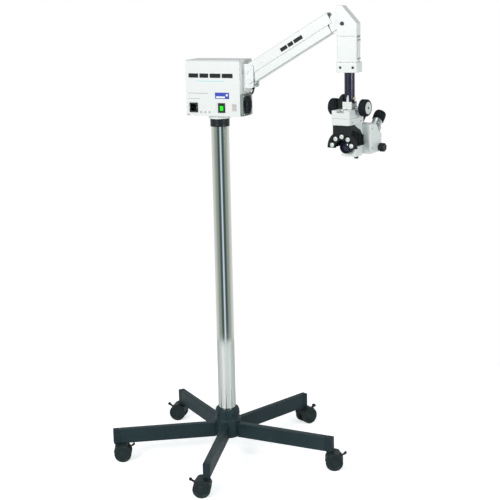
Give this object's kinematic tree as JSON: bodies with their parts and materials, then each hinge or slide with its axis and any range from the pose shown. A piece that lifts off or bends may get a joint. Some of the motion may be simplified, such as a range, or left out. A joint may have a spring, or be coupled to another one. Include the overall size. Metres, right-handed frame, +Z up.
{
  "type": "colposcope on floor stand",
  "caption": "Binocular zoom colposcope with LED ring light, carried by a balanced swing arm on a power box, chrome column and castered star base.",
  "frame": {"origin": "on the floor, under the middle of the whole stand's bounding box", "axes": "+Z up along the column; +X from the column along the swing arm; -Y is the side the objective and the power box's panel face"},
  "size_m": [0.766, 0.7022, 1.3029],
  "materials": {
    "base_enamel": "dark blue-grey enamel, satin",
    "caster_nylon": "moulded nylon",
    "column_chrome": "bright chrome plate",
    "black_plastic": "moulded, semi-matt",
    "white_enamel": "white powder coat",
    "silver_enamel": "pale silver-grey hammered enamel on cast aluminium",
    "bare_steel": "machined",
    "green_lamp": "translucent lit rocker",
    "transformer_core": "varnished laminations",
    "clear_lens": "coated glass",
    "black_rubber": "matt rubber",
    "post_enamel": "deep navy gloss enamel"
  },
  "bodies": {
    "base": {"base_hub": "base_enamel", "base_leg_1": "base_enamel", "base_leg_2": "base_enamel", "base_leg_3": "base_enamel", "base_leg_4": "base_enamel", "base_leg_5": "base_enamel", "column": "column_chrome", "column_collar": "black_plastic"},
    "caster_1": {"caster_hood_1": "caster_nylon"},
    "wheels_1": {"caster_wheels_1": "caster_nylon"},
    "brake_1": {"caster_brake_1": "caster_nylon"},
    "caster_2": {"caster_hood_2": "caster_nylon"},
    "wheels_2": {"caster_wheels_2": "caster_nylon"},
    "brake_2": {"caster_brake_2": "caster_nylon"},
    "caster_3": {"caster_hood_3": "caster_nylon"},
    "wheels_3": {"caster_wheels_3": "caster_nylon"},
    "brake_3": {"caster_brake_3": "caster_nylon"},
    "caster_4": {"caster_hood_4": "caster_nylon"},
    "wheels_4": {"caster_wheels_4": "caster_nylon"},
    "brake_4": {"caster_brake_4": "caster_nylon"},
    "caster_5": {"caster_hood_5": "caster_nylon"},
    "wheels_5": {"caster_wheels_5": "caster_nylon"},
    "brake_5": {"caster_brake_5": "caster_nylon"},
    "power_box": {"box_chassis": "white_enamel", "box_cover": "white_enamel", "power_inlet": "black_plastic", "switch_frame": "black_plastic", "fan_frame": "black_plastic", "transformer": "transformer_core", "shoulder_bracket": "white_enamel", "shoulder_pins": "bare_steel", "arm_lead": "black_rubber"},
    "rocker": {"power_rocker": "green_lamp"},
    "fan_rotor": {"fan_blades": "black_plastic"},
    "upper_link": {"upper_link_bar": "bare_steel", "upper_arm_cover": "white_enamel", "balance_spring": "bare_steel"},
    "lower_link": {"lower_link_channel": "white_enamel"},
    "elbow": {"elbow_fork": "white_enamel", "elbow_pins": "bare_steel", "elbow_cover": "white_enamel", "drop_housing": "white_enamel", "clamp_block": "white_enamel"},
    "post": {"post_shaft": "post_enamel"},
    "neck": {"neck_bracket": "white_enamel", "focus_bearing": "black_plastic"},
    "focus_knobs": {"focus_knob_pair": "black_plastic"},
    "optical_head": {"head_cover": "white_enamel", "zoom_body": "silver_enamel", "objective_barrel": "black_plastic", "objective_lens": "clear_lens", "led_housing": "black_plastic", "led_lenses": "clear_lens", "binocular_body": "silver_enamel"},
    "eye_left": {"eyepiece_left": "bare_steel"},
    "eye_right": {"eyepiece_right": "bare_steel"},
    "cup_left": {"eyecup_left": "black_rubber"},
    "cup_right": {"eyecup_right": "black_rubber"},
    "zoom_control": {"zoom_knob_pair": "black_plastic"},
    "lock": {"lock_knob": "black_plastic"}
  },
  "joints": [
    {"name": "caster_1_swivel", "type": "hinge", "parent": "base", "child": "caster_1", "pos_m": [-0.35582, -0.17535, 0.06], "axis": [0, 0, 1], "continuous": true},
    {"name": "caster_1_roll", "type": "hinge", "parent": "caster_1", "child": "wheels_1", "pos_m": [-0.34222, -0.16901, 0.025], "axis": [-0.4226, 0.9063, 0], "continuous": true},
    {"name": "caster_1_brake", "type": "hinge", "parent": "caster_1", "child": "brake_1", "pos_m": [-0.32499, -0.16098, 0.03881], "axis": [-0.4226, 0.9063, 0], "range_deg": [0, 20]},
    {"name": "caster_2_swivel", "type": "hinge", "parent": "base", "child": "caster_2", "pos_m": [0.00185, -0.31624, 0.06], "axis": [0, 0, 1], "continuous": true},
    {"name": "caster_2_roll", "type": "hinge", "parent": "caster_2", "child": "wheels_2", "pos_m": [-0.01225, -0.32137, 0.025], "axis": [0.342, -0.9397, 0], "continuous": true},
    {"name": "caster_2_brake", "type": "hinge", "parent": "caster_2", "child": "brake_2", "pos_m": [-0.03011, -0.32787, 0.03881], "axis": [0.342, -0.9397, 0], "range_deg": [0, 20]},
    {"name": "caster_3_swivel", "type": "hinge", "parent": "base", "child": "caster_3", "pos_m": [0.24636, -0.01962, 0.06], "axis": [0, 0, 1], "continuous": true},
    {"name": "caster_3_roll", "type": "hinge", "parent": "caster_3", "child": "wheels_3", "pos_m": [0.26046, -0.01449, 0.025], "axis": [-0.342, 0.9397, 0], "continuous": true},
    {"name": "caster_3_brake", "type": "hinge", "parent": "caster_3", "child": "brake_3", "pos_m": [0.27832, -0.00799, 0.03881], "axis": [-0.342, 0.9397, 0], "range_deg": [0, 20]},
    {"name": "caster_4_swivel", "type": "hinge", "parent": "base", "child": "caster_4", "pos_m": [0.03982, 0.30459, 0.06], "axis": [0, 0, 1], "continuous": true},
    {"name": "caster_4_roll", "type": "hinge", "parent": "caster_4", "child": "wheels_4", "pos_m": [0.04732, 0.31758, 0.025], "axis": [-0.866, 0.5, 0], "continuous": true},
    {"name": "caster_4_brake", "type": "hinge", "parent": "caster_4", "child": "brake_4", "pos_m": [0.05682, 0.33405, 0.03881], "axis": [-0.866, 0.5, 0], "range_deg": [0, 20]},
    {"name": "caster_5_swivel", "type": "hinge", "parent": "base", "child": "caster_5", "pos_m": [-0.33235, 0.20834, 0.06], "axis": [0, 0, 1], "continuous": true},
    {"name": "caster_5_roll", "type": "hinge", "parent": "caster_5", "child": "wheels_5", "pos_m": [-0.34712, 0.20574, 0.025], "axis": [0.1736, -0.9848, 0], "continuous": true},
    {"name": "caster_5_brake", "type": "hinge", "parent": "caster_5", "child": "brake_5", "pos_m": [-0.36584, 0.20244, 0.03881], "axis": [0.1736, -0.9848, 0], "range_deg": [0, 20]},
    {"name": "box_swivel", "type": "hinge", "parent": "base", "child": "power_box", "pos_m": [-0.08003, 0.00034, 0.995], "axis": [0, 0, 1], "range_deg": [-170, 170]},
    {"name": "power_switch", "type": "hinge", "parent": "power_box", "child": "rocker", "pos_m": [-0.05353, -0.03866, 1.02835], "axis": [1, 0, 0], "range_deg": [-14, 0]},
    {"name": "fan_spin", "type": "hinge", "parent": "power_box", "child": "fan_rotor", "pos_m": [0.00522, -0.01166, 1.03585], "axis": [1, 0, 0], "continuous": true},
    {"name": "arm_lift", "type": "hinge", "parent": "power_box", "child": "upper_link", "pos_m": [0.01427, 0.00034, 1.12655], "axis": [0, -1, 0], "range_deg": [-50, 12]},
    {"name": "lower_link_turn", "type": "hinge", "parent": "power_box", "child": "lower_link", "pos_m": [0.02427, 0.00034, 1.09955], "axis": [0, -1, 0], "range_deg": [-50, 12]},
    {"name": "elbow_level", "type": "hinge", "parent": "upper_link", "child": "elbow", "pos_m": [0.28052, 0.00034, 1.28338], "axis": [0, -1, 0], "range_deg": [-12, 50]},
    {"name": "post_swivel", "type": "hinge", "parent": "elbow", "child": "post", "pos_m": [0.30552, 0.00034, 1.14], "axis": [0, 0, 1], "range_deg": [-170, 170]},
    {"name": "head_tilt", "type": "hinge", "parent": "post", "child": "neck", "pos_m": [0.30552, 0.00034, 1.05768], "axis": [0.9854, -0.1702, 0], "range_deg": [-25, 25]},
    {"name": "focus_turn", "type": "hinge", "parent": "neck", "child": "focus_knobs", "pos_m": [0.30552, 0.00034, 1.03418], "axis": [0.9854, -0.1702, 0], "range_deg": [-140, 140]},
    {"name": "focus_slide", "type": "slide", "parent": "neck", "child": "optical_head", "axis": [0.1702, 0.9854, 0], "range_m": [-0.015, 0.015]},
    {"name": "eye_left_slide", "type": "slide", "parent": "optical_head", "child": "eye_left", "axis": [0.9854, -0.1702, 0], "range_m": [-0.006, 0.006]},
    {"name": "eye_right_slide", "type": "slide", "parent": "optical_head", "child": "eye_right", "axis": [0.9854, -0.1702, 0], "range_m": [-0.006, 0.006]},
    {"name": "eyecup_left_turn", "type": "hinge", "parent": "eye_left", "child": "cup_left", "pos_m": [0.29042, 0.08921, 0.97018], "axis": [0.1204, 0.6968, 0.7071], "range_deg": [-90, 90]},
    {"name": "eyecup_right_turn", "type": "hinge", "parent": "eye_right", "child": "cup_right", "pos_m": [0.34955, 0.079, 0.97018], "axis": [0.1204, 0.6968, 0.7071], "range_deg": [-90, 90]},
    {"name": "zoom_turn", "type": "hinge", "parent": "optical_head", "child": "zoom_control", "pos_m": [0.32015, 0.08509, 0.91818], "axis": [0.9854, -0.1702, 0], "range_deg": [-135, 135]},
    {"name": "lock_turn", "type": "hinge", "parent": "optical_head", "child": "lock", "pos_m": [0.31843, 0.01638, 0.90118], "axis": [0, 0, 1], "range_deg": [-90, 90]}
  ],
  "couplings": [
    {"joint": "lower_link_turn", "follows": "arm_lift", "ratio": 1},
    {"joint": "elbow_level", "follows": "arm_lift", "ratio": -1},
    {"joint": "focus_slide", "follows": "focus_turn", "m_per_rad": 0.0061115},
    {"joint": "eye_right_slide", "follows": "eye_left_slide", "ratio": -1}
  ]
}
